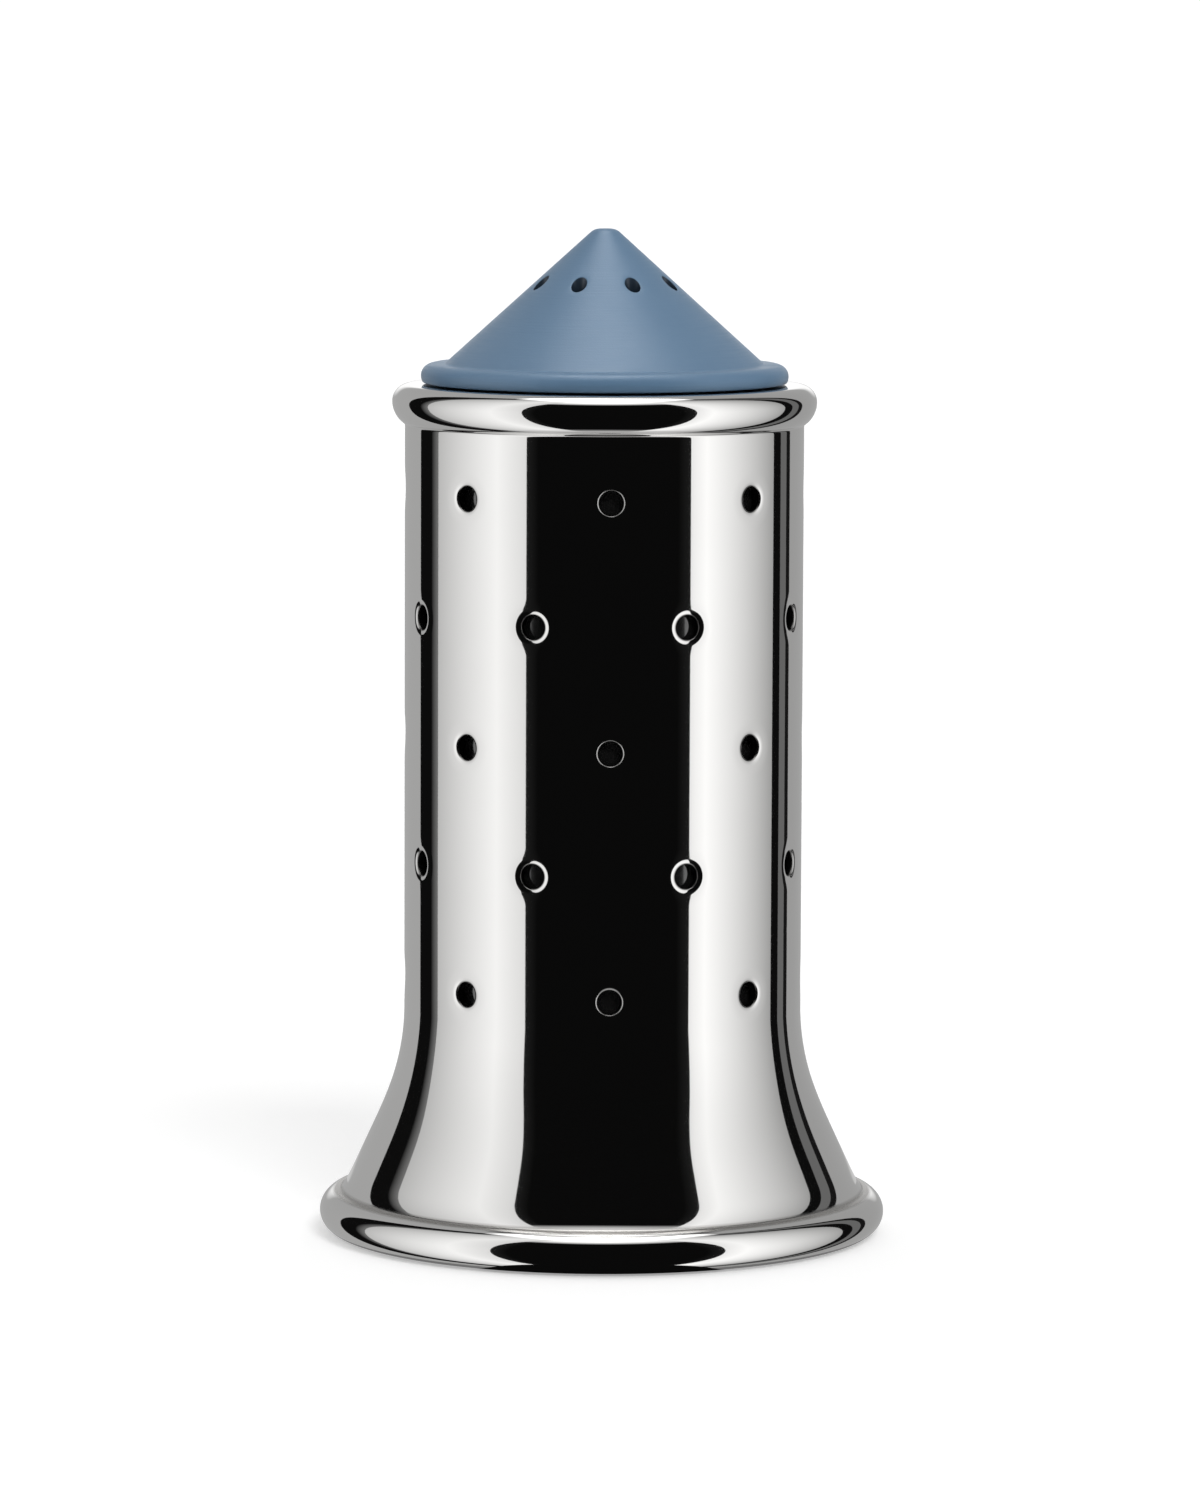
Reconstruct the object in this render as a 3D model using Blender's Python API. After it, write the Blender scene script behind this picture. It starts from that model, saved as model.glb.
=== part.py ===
"""Salt shaker: a perforated steel sleeve round a plastic salt cup, closed by a conical screw cap.

The sleeve is one piece of polished sheet with a half-round bead at each end. The cup stands inside
it, trapped between the sleeve's top flange and a base plate that snaps into the foot. The cap plugs
into the cup's mouth on a two-start thread and squeezes a flat gasket on the cup's rim.
"""

import math

import bmesh
import bpy
from mathutils import Matrix, Vector

# Driving dimensions in metres, with heights above the table.
HEIGHT = 0.0920
SLEEVE_RADIUS = 0.0182
SHEET_THICKNESS = 0.0008
SEAT_GAP = 0.0003

TOP_BEAD_RADIUS = 0.01936
TOP_BEAD_HEIGHT = 0.0763
TOP_BEAD_LOWER_ROUND = 0.00245
TOP_BEAD_UPPER_ROUND = 0.00155
TOP_FLANGE_BORE = 0.01595

FLARE_START = 0.0208
FLARE_BEND_RADIUS = 0.0225
FLARE_ANGLE = math.radians(25)
FOOT_RADIUS = 0.02595
FOOT_BEAD_UPPER_ROUND = 0.0019
FOOT_BEAD_LOWER_ROUND = 0.00185
FOOT_CREASE_FILLET = 0.0010
FOOT_FLANGE_BORE = 0.0214

HOLE_ROWS = 5
HOLES_PER_ROW = 8
HOLE_RADIUS = 0.00105
HOLE_EDGE_ROUND = 0.0004
TOP_ROW_HEIGHT = 0.0683
ROW_PITCH = 0.0112
PATTERN_TWIST = math.radians(2)

CONE_HALF_ANGLE = math.radians(47.84)
TIP_RADIUS = 0.00098
TIP_ROUND = 0.0013
CAP_WALL = 0.0016
BRIM_RADIUS = 0.01675
BRIM_TOP = 0.07968
BRIM_UPPER_ROUND = 0.00105
BRIM_LOWER_TAPER = 0.0005
PLUG_RADIUS = 0.0142
PLUG_WALL = 0.0014
PLUG_DEPTH = 0.0068
PLUG_CHAMFER = 0.0003
SPRINKLE_HOLES = 8
SPRINKLE_RADIUS = 0.00068
SPRINKLE_CIRCLE = 0.0063

CUP_RADIUS = 0.0162
CUP_WALL = 0.0016
CUP_FLOOR = 0.0017
CUP_CORNER = 0.0006

PLATE_RECESS = 0.0005
PLATE_THICKNESS = 0.0023
PLATE_PANEL_DEPTH = 0.0006
PLATE_PANEL_RADIUS = 0.0178
SNAP_LIP = 0.0009
SNAP_LAND = 0.0008
CUP_COLLAR_WALL = 0.0013
CUP_COLLAR_HEIGHT = 0.0022

VISIBLE_SEGMENTS = 48
HIDDEN_SEGMENTS = 40
HOLE_SEGMENTS = 12


def clear_scene():
    for obj in list(bpy.data.objects):
        bpy.data.objects.remove(obj)


def finish(name, colour, roughness, metallic):
    """A Principled material of one colour."""
    material = bpy.data.materials.new(name)
    material.use_nodes = True
    shader = material.node_tree.nodes["Principled BSDF"]
    shader.inputs["Base Color"].default_value = (*colour, 1)
    shader.inputs["Roughness"].default_value = roughness
    shader.inputs["Metallic"].default_value = metallic
    return material


def arc(centre, radii, start, end, steps):
    """Points (radius, height) along an arc about centre, with angles in degrees."""
    points = []
    for step in range(steps + 1):
        angle = math.radians(start + (end - start) * step / steps)
        points.append((centre[0] + radii[0] * math.cos(angle), centre[1] + radii[1] * math.sin(angle)))
    return points


def spun(name, profile, segments, closed):
    """A mesh made by spinning a profile of (radius, height) points about the upright axis."""
    bm = bmesh.new()
    points = [bm.verts.new((radius, 0, height)) for radius, height in profile]
    pairs = list(zip(points, points[1:]))
    if closed:
        pairs.append((points[-1], points[0]))
    edges = [bm.edges.new(pair) for pair in pairs]
    bmesh.ops.spin(
        bm,
        geom=points + edges,
        cent=(0, 0, 0),
        axis=(0, 0, 1),
        angle=2 * math.pi,
        steps=segments,
        use_merge=True,
    )
    bmesh.ops.remove_doubles(bm, verts=bm.verts, dist=1e-6)
    bmesh.ops.recalc_face_normals(bm, faces=bm.faces)
    mesh = bpy.data.meshes.new(name)
    bm.to_mesh(mesh)
    bm.free()
    return mesh


def turned(name, profile, segments, material, closed=False):
    """A smooth-shaded object spun from a profile that ends on the axis, or that closes on itself."""
    mesh = spun(name, profile, segments, closed)
    mesh.shade_smooth()
    mesh.set_sharp_from_angle(angle=math.radians(35))
    mesh.materials.append(material)
    obj = bpy.data.objects.new(name, mesh)
    bpy.context.scene.collection.objects.link(obj)
    return obj


def cutter(name, profile, places):
    """One hidden object that holds a spun peg at each of the given placements."""
    mesh = spun(name, profile, HOLE_SEGMENTS, closed=False)
    bm = bmesh.new()
    for place in places:
        placed = len(bm.verts)
        bm.from_mesh(mesh)
        bm.verts.ensure_lookup_table()
        bmesh.ops.transform(bm, matrix=place, verts=bm.verts[placed:])
    bm.to_mesh(mesh)
    bm.free()
    obj = bpy.data.objects.new(name, mesh)
    obj.hide_render = True
    obj.display_type = "WIRE"
    bpy.context.scene.collection.objects.link(obj)
    return obj


def cut(obj, tool):
    boolean = obj.modifiers.new("holes", "BOOLEAN")
    boolean.operation = "DIFFERENCE"
    boolean.object = tool


def flare_end():
    """Where the sleeve's bend passes into the straight skirt, as (radius, height)."""
    return (
        SLEEVE_RADIUS + FLARE_BEND_RADIUS * (1 - math.cos(FLARE_ANGLE)),
        FLARE_START - FLARE_BEND_RADIUS * math.sin(FLARE_ANGLE),
    )


def foot_fillet():
    """Centre of the fillet between skirt and foot bead, and the angle in degrees at which it lands."""
    bead = Vector((FOOT_RADIUS - FOOT_BEAD_UPPER_ROUND, FOOT_BEAD_LOWER_ROUND))
    along = Vector((math.sin(FLARE_ANGLE), -math.cos(FLARE_ANGLE)))
    outward = Vector((math.cos(FLARE_ANGLE), math.sin(FLARE_ANGLE)))
    # The centre runs parallel to the skirt until it is one fillet away from the bead.
    start = Vector(flare_end()) + outward * FOOT_CREASE_FILLET
    to_bead = bead - start
    reach = FOOT_BEAD_UPPER_ROUND + FOOT_CREASE_FILLET
    centre = start + along * (to_bead.dot(along) - math.sqrt(reach**2 - to_bead.dot(outward) ** 2))
    return centre, math.degrees(math.atan2(centre.y - bead.y, centre.x - bead.x))


def flange_height():
    """Height of the sleeve's flat top flange."""
    return TOP_BEAD_HEIGHT + TOP_BEAD_UPPER_ROUND


def sleeve_profile():
    """The sheet's outer line, from the top flange's bore down to the foot flange's bore."""
    shoulder_centre = (TOP_BEAD_RADIUS - TOP_BEAD_UPPER_ROUND, TOP_BEAD_HEIGHT)
    upper = (TOP_BEAD_UPPER_ROUND, TOP_BEAD_UPPER_ROUND)
    bead_centre = (TOP_BEAD_RADIUS - TOP_BEAD_LOWER_ROUND, TOP_BEAD_HEIGHT)
    lower = (TOP_BEAD_LOWER_ROUND, TOP_BEAD_LOWER_ROUND)
    crease = -math.degrees(math.acos((SLEEVE_RADIUS - bead_centre[0]) / TOP_BEAD_LOWER_ROUND))
    bend_centre = (SLEEVE_RADIUS + FLARE_BEND_RADIUS, FLARE_START)
    bend = (FLARE_BEND_RADIUS, FLARE_BEND_RADIUS)
    skirt = 180 + math.degrees(FLARE_ANGLE)
    fillet_centre, landing = foot_fillet()
    fillet = (FOOT_CREASE_FILLET, FOOT_CREASE_FILLET)
    foot_upper = (FOOT_BEAD_UPPER_ROUND, FOOT_BEAD_UPPER_ROUND)
    foot_lower = (FOOT_BEAD_LOWER_ROUND, FOOT_BEAD_LOWER_ROUND)
    return [
        (TOP_FLANGE_BORE, flange_height()),
        *arc(shoulder_centre, upper, 90, 0, 5),
        *arc(bead_centre, lower, 0, crease, 4)[1:],
        *arc(bend_centre, bend, 180, skirt, 4),
        *arc(fillet_centre, fillet, skirt, 180 + landing, 3),
        *arc((FOOT_RADIUS - FOOT_BEAD_UPPER_ROUND, FOOT_BEAD_LOWER_ROUND), foot_upper, landing, 0, 4)[1:],
        *arc((FOOT_RADIUS - FOOT_BEAD_LOWER_ROUND, FOOT_BEAD_LOWER_ROUND), foot_lower, 0, -90, 4)[1:],
        (FOOT_FLANGE_BORE, 0),
    ]


def sleeve_hole_places():
    """Placement of each punched hole: rows of eight, every other row turned by half a step."""
    step = 2 * math.pi / HOLES_PER_ROW
    places = []
    for row in range(HOLE_ROWS):
        height = TOP_ROW_HEIGHT - row * ROW_PITCH
        for index in range(HOLES_PER_ROW):
            turn = PATTERN_TWIST + step * (index + 0.5 * (row % 2))
            outward = Matrix.Rotation(turn, 4, "Z") @ Matrix.Rotation(math.pi / 2, 4, "X")
            places.append(Matrix.Translation(Vector((0, 0, height))) @ outward)
    return places


def sleeve(material):
    """Polished sheet, beaded and flanged at both ends and punched with rows of holes."""
    obj = turned("sleeve", sleeve_profile(), VISIBLE_SEGMENTS, material)
    wall = obj.modifiers.new("sheet", "SOLIDIFY")
    wall.thickness = SHEET_THICKNESS
    wall.offset = -1
    wall.use_even_offset = True
    wall.use_quality_normals = True
    inside = SLEEVE_RADIUS - 2 * SHEET_THICKNESS
    outside = SLEEVE_RADIUS + SHEET_THICKNESS
    lip = HOLE_RADIUS + HOLE_EDGE_ROUND
    peg = [
        (0, outside),
        (lip, outside),
        (lip, SLEEVE_RADIUS),
        (HOLE_RADIUS, SLEEVE_RADIUS - HOLE_EDGE_ROUND),
        (HOLE_RADIUS, inside),
        (0, inside),
    ]
    cut(obj, cutter("sleeve_hole_pegs", peg, sleeve_hole_places()))
    return obj


def cup_top():
    """Height of the cup's rim, just clear of the underside of the sleeve's flange."""
    return flange_height() - SHEET_THICKNESS - SEAT_GAP


def cap_profile():
    """The cap's section: blunt tip, cone, rounded brim, hollow plug and the cone's inner face."""
    slope = math.tan(CONE_HALF_ANGLE)
    apex = HEIGHT + TIP_RADIUS / slope
    tip_turn = math.pi / 2 - CONE_HALF_ANGLE
    tip_centre = (TIP_RADIUS - TIP_ROUND * math.tan(tip_turn / 2), HEIGHT - TIP_ROUND)
    brim_foot = slope * (apex - BRIM_TOP)
    round_centre = (BRIM_RADIUS - BRIM_UPPER_ROUND, BRIM_TOP - BRIM_UPPER_ROUND)
    lower_centre = (BRIM_RADIUS - BRIM_LOWER_TAPER, round_centre[1])
    brim_bottom = flange_height() + SEAT_GAP
    lower_radii = (BRIM_LOWER_TAPER, round_centre[1] - brim_bottom)
    plug_bottom = brim_bottom - PLUG_DEPTH
    plug_bore = PLUG_RADIUS - PLUG_WALL
    inner_apex = apex - CAP_WALL / math.sin(CONE_HALF_ANGLE)
    inner_tip_radius = TIP_ROUND
    return [
        (0, HEIGHT),
        *arc(tip_centre, (TIP_ROUND, TIP_ROUND), 90, math.degrees(CONE_HALF_ANGLE), 3),
        (brim_foot, BRIM_TOP),
        *arc(round_centre, (BRIM_UPPER_ROUND, BRIM_UPPER_ROUND), 90, 0, 4),
        *arc(lower_centre, lower_radii, 0, -90, 3)[1:],
        (PLUG_RADIUS, brim_bottom),
        (PLUG_RADIUS, plug_bottom + PLUG_CHAMFER),
        (PLUG_RADIUS - PLUG_CHAMFER, plug_bottom),
        (plug_bore, plug_bottom),
        (plug_bore, inner_apex - plug_bore / slope),
        (inner_tip_radius, inner_apex - inner_tip_radius / slope),
        (0, inner_apex - inner_tip_radius / slope),
    ]


def sprinkle_hole_places():
    """Upright placements of the sprinkle holes on their circle round the cap."""
    step = 2 * math.pi / SPRINKLE_HOLES
    places = []
    for index in range(SPRINKLE_HOLES):
        turn = PATTERN_TWIST + step * (index + 0.5)
        places.append(Matrix.Rotation(turn, 4, "Z") @ Matrix.Translation(Vector((0, -SPRINKLE_CIRCLE, 0))))
    return places


def cap(material):
    """Moulded cone with a rounded brim, a hollow plug below and sprinkle holes parallel to its axis."""
    obj = turned("cap", cap_profile(), VISIBLE_SEGMENTS, material)
    peg = [(0, HEIGHT), (SPRINKLE_RADIUS, HEIGHT), (SPRINKLE_RADIUS, BRIM_TOP), (0, BRIM_TOP)]
    cut(obj, cutter("sprinkle_hole_pegs", peg, sprinkle_hole_places()))
    return obj


def plate_top():
    return PLATE_RECESS + PLATE_THICKNESS


def salt_cup(material):
    """Straight moulded cup that keeps the salt behind the perforated sleeve."""
    bottom = plate_top() + SEAT_GAP
    bore = CUP_RADIUS - CUP_WALL
    profile = [
        (0, bottom),
        (CUP_RADIUS - CUP_CORNER, bottom),
        (CUP_RADIUS, bottom + CUP_CORNER),
        (CUP_RADIUS, cup_top()),
        (bore, cup_top()),
        (bore, bottom + CUP_FLOOR + CUP_CORNER),
        (bore - CUP_CORNER, bottom + CUP_FLOOR),
        (0, bottom + CUP_FLOOR),
    ]
    return turned("salt_cup", profile, HIDDEN_SEGMENTS, material)


def cap_gasket(material):
    """Flat ring on the cap's plug, squeezed between the brim and the cup's rim."""
    bore = PLUG_RADIUS + SEAT_GAP
    rim = TOP_FLANGE_BORE - SEAT_GAP
    bottom = cup_top() + SEAT_GAP
    top = flange_height()
    profile = [(bore, bottom), (rim, bottom), (rim, top), (bore, top)]
    return turned("cap_gasket", profile, HIDDEN_SEGMENTS, material, closed=True)


def base_plate(material):
    """Moulded disc that snaps over the foot flange and carries the cup in a collar."""
    land = FOOT_FLANGE_BORE - SEAT_GAP
    lip_bottom = SHEET_THICKNESS + SEAT_GAP
    lip_top = lip_bottom + SNAP_LAND
    collar_bore = CUP_RADIUS + SEAT_GAP
    collar = collar_bore + CUP_COLLAR_WALL
    profile = [
        (0, PLATE_RECESS + PLATE_PANEL_DEPTH),
        (PLATE_PANEL_RADIUS - PLATE_PANEL_DEPTH, PLATE_RECESS + PLATE_PANEL_DEPTH),
        (PLATE_PANEL_RADIUS, PLATE_RECESS),
        (land, PLATE_RECESS),
        (land, lip_bottom),
        (land + SNAP_LIP, lip_bottom),
        (land + SNAP_LIP, lip_top),
        (land, plate_top()),
        (collar, plate_top()),
        (collar, plate_top() + CUP_COLLAR_HEIGHT),
        (collar_bore, plate_top() + CUP_COLLAR_HEIGHT),
        (collar_bore, plate_top()),
        (0, plate_top()),
    ]
    return turned("base_plate", profile, HIDDEN_SEGMENTS, material)


def main():
    clear_scene()
    polished_steel = finish("polished_steel", (0.80, 0.79, 0.77), 0.04, 1)
    blue_plastic = finish("blue_plastic", (0.15, 0.23, 0.34), 0.5, 0)
    dark_plastic = finish("dark_plastic", (0.015, 0.015, 0.016), 0.2, 0)
    seal_rubber = finish("seal_rubber", (0.05, 0.05, 0.05), 0.7, 0)
    sleeve(polished_steel)
    salt_cup(dark_plastic)
    base_plate(dark_plastic)
    cap_gasket(seal_rubber)
    # The cap's origin is on the upright axis that it screws about.
    cap(blue_plastic)


main()
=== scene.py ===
"""A steel and plastic salt shaker on a white table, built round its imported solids."""

import math

import bmesh
import bpy
from mathutils import Matrix, Vector


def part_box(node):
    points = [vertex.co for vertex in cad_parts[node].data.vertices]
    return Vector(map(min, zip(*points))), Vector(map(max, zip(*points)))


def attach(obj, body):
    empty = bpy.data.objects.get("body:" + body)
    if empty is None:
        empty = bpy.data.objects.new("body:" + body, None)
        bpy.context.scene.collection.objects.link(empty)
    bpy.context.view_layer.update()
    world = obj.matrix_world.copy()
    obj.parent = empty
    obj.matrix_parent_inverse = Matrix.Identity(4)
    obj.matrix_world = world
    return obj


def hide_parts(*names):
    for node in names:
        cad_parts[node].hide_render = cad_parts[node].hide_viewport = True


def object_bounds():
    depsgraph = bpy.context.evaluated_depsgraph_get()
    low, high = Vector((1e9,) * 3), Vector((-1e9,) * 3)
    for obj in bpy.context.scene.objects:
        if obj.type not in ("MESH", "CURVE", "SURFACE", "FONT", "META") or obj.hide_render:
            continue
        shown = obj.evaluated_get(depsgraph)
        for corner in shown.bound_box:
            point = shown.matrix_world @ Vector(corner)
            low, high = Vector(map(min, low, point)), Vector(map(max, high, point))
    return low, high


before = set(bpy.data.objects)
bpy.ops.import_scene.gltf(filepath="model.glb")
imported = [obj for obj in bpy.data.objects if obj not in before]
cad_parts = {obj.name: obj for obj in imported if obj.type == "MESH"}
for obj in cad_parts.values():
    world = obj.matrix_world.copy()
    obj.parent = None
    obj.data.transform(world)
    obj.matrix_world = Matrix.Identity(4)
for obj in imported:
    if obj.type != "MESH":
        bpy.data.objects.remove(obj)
cad_low, cad_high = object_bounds()


# The sleeve is one piece of stainless steel sheet: a tube with a flared foot, a half-round bead pressed
# into each end and the edges turned in as flanges. Its holes are punched with the edge drawn inwards,
# and the whole is polished to a mirror.

SHEET_THICKNESS = 0.0008
SHARPEST_MITRE = 0.5
SLEEVE_RADIUS = 0.0182

TOP_FLANGE_BORE = 0.01595
TOP_BEAD_RADIUS = 0.01936
TOP_BEAD_HEIGHT = 0.0763
TOP_BEAD_UPPER_ROUND = 0.00155
TOP_BEAD_LOWER_ROUND = 0.00245
TOP_CREASE_FILLET = 0.00025
TOP_CREASE_STEPS = 6
BEAD_STEPS = 16

FLARE_START = 0.0208
FLARE_BEND_RADIUS = 0.0218
FLARE_EASE = 0.0060
FLARE_ANGLE = math.radians(25)
FOOT_RADIUS = 0.02595
FOOT_BEAD_UPPER_ROUND = 0.0019
FOOT_BEAD_LOWER_ROUND = 0.00185
FOOT_BEAD_UPPER_STEPS = 18
FOOT_CREASE_FILLET = 0.0005
CREASE_EASE = 0.0022
CREASE_EASE_TURN = math.radians(14)
CREASE_STEPS = 12
BEND_STEPS = 10
FOOT_FLANGE_BORE = 0.0214

HOLES_PER_ROW = 8
HOLE_ROWS = 5
TOP_ROW_HEIGHT = 0.0683
ROW_PITCH = 0.0112
HOLE_THROAT = 0.00112
HOLE_ROLL_WIDTH = 0.00058
HOLE_ROLL_DEPTH = 0.00023
HOLE_ROLL_STEPS = 9
HOLE_DRAW_RADIUS = 0.0026
HOLE_DRAW_DEPTH = 0.000022
HOLE_DRAW_STEPS = 5
HOLE_FLAT_STEPS = 5
PATTERN_TWIST = math.radians(2)

CELL_COLUMNS = 20
CELL_ROWS = 10
CELL_TOP = TOP_ROW_HEIGHT + ROW_PITCH / 2
SLEEVE_SEGMENTS = HOLES_PER_ROW * CELL_COLUMNS
MERGE_DISTANCE = 4e-6
SHARP_EDGE = math.radians(40)
PLAIN_TUBE_TOLERANCE = 5e-7

STEEL_TINTS = (0.735, 0.730, 0.720), (0.715, 0.710, 0.700)
STEEL_ROUGHNESS = (0.02, 0.045)
NOISE_MIDDLE = (0.3, 0.7)
SMEAR_SIZE = 0.006
STREAK_SIZE = 0.004
STREAK_STRETCH = (1, 1, 40)
POLISHED_BEAD_DROPS = (0.0030, 0.0025)
POLISHED_DEPTHS = (0.00017, 0.00009)
# Painted shade on the holes: dark grey on the rolled lips, near black in the throats and on the tube's
# inner face.
ROLL_SHADE_TINT = (0.22, 0.215, 0.21)
ROLL_ROUGHNESS = 0.3
THROAT_SHADE_DEPTHS = (0.00024, 0.00034)
THROAT_SHADE_TINT = (0.05, 0.05, 0.05)
# Painted shade in the foot's crease, which is also rougher.
CREASE_SHADE_REACHES = (0.0008, 0.00045)
CREASE_SHADE_RISE = 0.0003
CREASE_SHADE_TINT = (0.36, 0.35, 0.335)
CREASE_ROUGHNESS = 0.25


def arc(centre, radius, start, end, steps, height=None):
    """Points (radius, height) along an arc about a centre, with angles in degrees.

    The arc is round, or oval where its own height is given as well.
    """
    points = []
    for step in range(steps + 1):
        angle = math.radians(start + (end - start) * step / steps)
        out = radius * math.cos(angle)
        up = (height or radius) * math.sin(angle)
        points.append(Vector((centre.x + out, centre.y + up)))
    return points


def inner_line(outer, thickness):
    """The other face of a sheet whose outer face runs along a line from top to bottom."""
    inner = []
    for index, point in enumerate(outer):
        before = point - outer[index - 1] if index > 0 else outer[1] - outer[0]
        after = outer[index + 1] - point if index + 1 < len(outer) else before
        before = before.normalized()
        after = after.normalized()
        along = (before + after).normalized()
        outward = Vector((-along.y, along.x))
        inner.append(point - outward * thickness / max(along.dot(before), SHARPEST_MITRE))
    return inner


def top_bead_line():
    """The sheet's outer face from the top flange's bore, round the bead and down to the tube."""
    shoulder = Vector((TOP_BEAD_RADIUS - TOP_BEAD_UPPER_ROUND, TOP_BEAD_HEIGHT))
    bead = Vector((TOP_BEAD_RADIUS - TOP_BEAD_LOWER_ROUND, TOP_BEAD_HEIGHT))
    fillet_radius = SLEEVE_RADIUS + TOP_CREASE_FILLET
    reach = TOP_BEAD_LOWER_ROUND + TOP_CREASE_FILLET
    drop = math.sqrt(reach**2 - (fillet_radius - bead.x) ** 2)
    fillet = Vector((fillet_radius, bead.y - drop))
    landing = math.degrees(math.atan2(-drop, fillet_radius - bead.x))
    return [
        Vector((TOP_FLANGE_BORE, TOP_BEAD_HEIGHT + TOP_BEAD_UPPER_ROUND)),
        *arc(shoulder, TOP_BEAD_UPPER_ROUND, 90, 0, BEAD_STEPS),
        *arc(bead, TOP_BEAD_LOWER_ROUND, 0, landing, BEAD_STEPS)[1:],
        *arc(fillet, TOP_CREASE_FILLET, landing + 180, 180, TOP_CREASE_STEPS)[1:],
        Vector((SLEEVE_RADIUS, CELL_TOP)),
    ]


def eased_bend(start, tilt, pieces):
    """Points down a line that leans out by a tilt, bending evenly more or less along each of its pieces.

    Each piece is (length, bend at its start, bend at its end), a bend being one over its radius.
    """
    points = [start]
    for length, first, last in pieces:
        for step in range(BEND_STEPS):
            share = (step + 0.5) / BEND_STEPS
            lean = tilt + length * (first * share + (last - first) * share**2 / 2)
            points.append(points[-1] + Vector((math.sin(lean), -math.cos(lean))) * length / BEND_STEPS)
        tilt += length * (first + last) / 2
    return points


def foot_line():
    """The sheet's outer face from the foot of the tube down the skirt and round the foot bead.

    The middle of the crease between skirt and bead is given as well.
    """
    bend = 1 / FLARE_BEND_RADIUS
    full_bend = FLARE_ANGLE * FLARE_BEND_RADIUS - FLARE_EASE / 2
    flare_pieces = [(full_bend, bend, bend), (FLARE_EASE, bend, 0)]
    flare = eased_bend(Vector((SLEEVE_RADIUS, FLARE_START)), 0, flare_pieces)
    ease_pieces = [(CREASE_EASE, 0, 2 * CREASE_EASE_TURN / CREASE_EASE)]
    ease = eased_bend(flare[-1], FLARE_ANGLE, ease_pieces)
    upper = Vector((FOOT_RADIUS - FOOT_BEAD_UPPER_ROUND, FOOT_BEAD_LOWER_ROUND))
    lower = Vector((FOOT_RADIUS - FOOT_BEAD_LOWER_ROUND, FOOT_BEAD_LOWER_ROUND))
    along = Vector((math.sin(FLARE_ANGLE), -math.cos(FLARE_ANGLE)))
    outward = Vector((math.cos(FLARE_ANGLE), math.sin(FLARE_ANGLE)))
    # The fillet and its ease slide down the skirt until the fillet just touches the bead.
    lean = FLARE_ANGLE + CREASE_EASE_TURN
    fillet = ease[-1] + Vector((math.cos(lean), math.sin(lean))) * FOOT_CREASE_FILLET
    reach = FOOT_BEAD_UPPER_ROUND + FOOT_CREASE_FILLET
    aside = (upper - fillet).dot(outward)
    slide = along * ((upper - fillet).dot(along) - math.sqrt(reach**2 - aside**2))
    fillet += slide
    landing = math.degrees(math.atan2(fillet.y - upper.y, fillet.x - upper.x))
    crease_line = arc(fillet, FOOT_CREASE_FILLET, 180 + math.degrees(lean), 180 + landing, CREASE_STEPS)
    line = [
        *flare,
        *(point + slide for point in ease),
        *crease_line[1:],
        *arc(upper, FOOT_BEAD_UPPER_ROUND, landing, 0, FOOT_BEAD_UPPER_STEPS)[1:],
        *arc(lower, FOOT_BEAD_LOWER_ROUND, 0, -90, BEAD_STEPS)[1:],
        Vector((FOOT_FLANGE_BORE, 0)),
    ]
    return line, crease_line[CREASE_STEPS // 2]


def spin_line(bm, line, segments):
    """Spins a line of (radius, height) points, drawn on the front of the shaker, once round its axis."""
    points = [bm.verts.new((0, -radius, height)) for radius, height in line]
    edges = [bm.edges.new(pair) for pair in zip(points, points[1:])]
    bmesh.ops.spin(
        bm,
        geom=points + edges,
        cent=(0, 0, 0),
        axis=(0, 0, 1),
        angle=2 * math.pi,
        steps=segments,
        use_merge=True,
    )


def rectangle_border(half_width, below, above, columns, rows):
    """Evenly spaced points round a rectangle, counted from the origin, anticlockwise."""
    corners = [
        (Vector((-half_width, -below)), columns),
        (Vector((half_width, -below)), rows),
        (Vector((half_width, above)), columns),
        (Vector((-half_width, above)), rows),
    ]
    border = []
    for index, (corner, steps) in enumerate(corners):
        following = corners[(index + 1) % 4][0]
        border += [corner.lerp(following, step / steps) for step in range(steps)]
    return border


def mesh_from(bm, name):
    """Turns a bmesh into a mesh and frees it."""
    mesh = bpy.data.meshes.new(name)
    bm.to_mesh(mesh)
    bm.free()
    return mesh


def punched_cell(border, rings):
    """A patch of wall round one hole, bent from a grid whose columns run from the border into the hole.

    Each ring is (share of the way from the border to a circle, that circle's radius, depth into the wall).
    """
    bm = bmesh.new()
    bmesh.ops.create_grid(bm, x_segments=len(border), y_segments=len(rings) - 1, size=1)
    for vert in bm.verts:
        place = border[round((vert.co.x + 1) / 2 * len(border)) % len(border)]
        share, radius, depth = rings[round((vert.co.y + 1) / 2 * (len(rings) - 1))]
        flat = place.lerp(place.normalized() * radius, share)
        vert.co = (flat.x, flat.y, depth)
    return mesh_from(bm, "punched_cell")


def sleeve_hole_rings():
    """From the flat sheet over the rolled edge, through the throat and back along the inner face."""
    rim = HOLE_THROAT + HOLE_ROLL_WIDTH
    rings = [(step / HOLE_FLAT_STEPS, HOLE_DRAW_RADIUS, 0) for step in range(HOLE_FLAT_STEPS + 1)]
    for step in range(1, HOLE_DRAW_STEPS + 1):
        inward = step / HOLE_DRAW_STEPS
        radius = HOLE_DRAW_RADIUS + (rim - HOLE_DRAW_RADIUS) * inward
        rings.append((1, radius, HOLE_DRAW_DEPTH * inward**2))
    for step in range(1, HOLE_ROLL_STEPS + 1):
        turn = math.pi / 2 * step / HOLE_ROLL_STEPS
        depth = HOLE_DRAW_DEPTH + HOLE_ROLL_DEPTH * (1 - math.cos(turn))
        rings.append((1, rim - HOLE_ROLL_WIDTH * math.sin(turn), depth))
    rings += [(1, HOLE_THROAT, SHEET_THICKNESS), (1, rim, SHEET_THICKNESS), (0, rim, SHEET_THICKNESS)]
    return rings


def put_in_scene(name, data):
    """An object at the origin that shows a mesh, a lamp or a lens."""
    obj = bpy.data.objects.new(name, data)
    bpy.context.scene.collection.objects.link(obj)
    return obj


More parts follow.
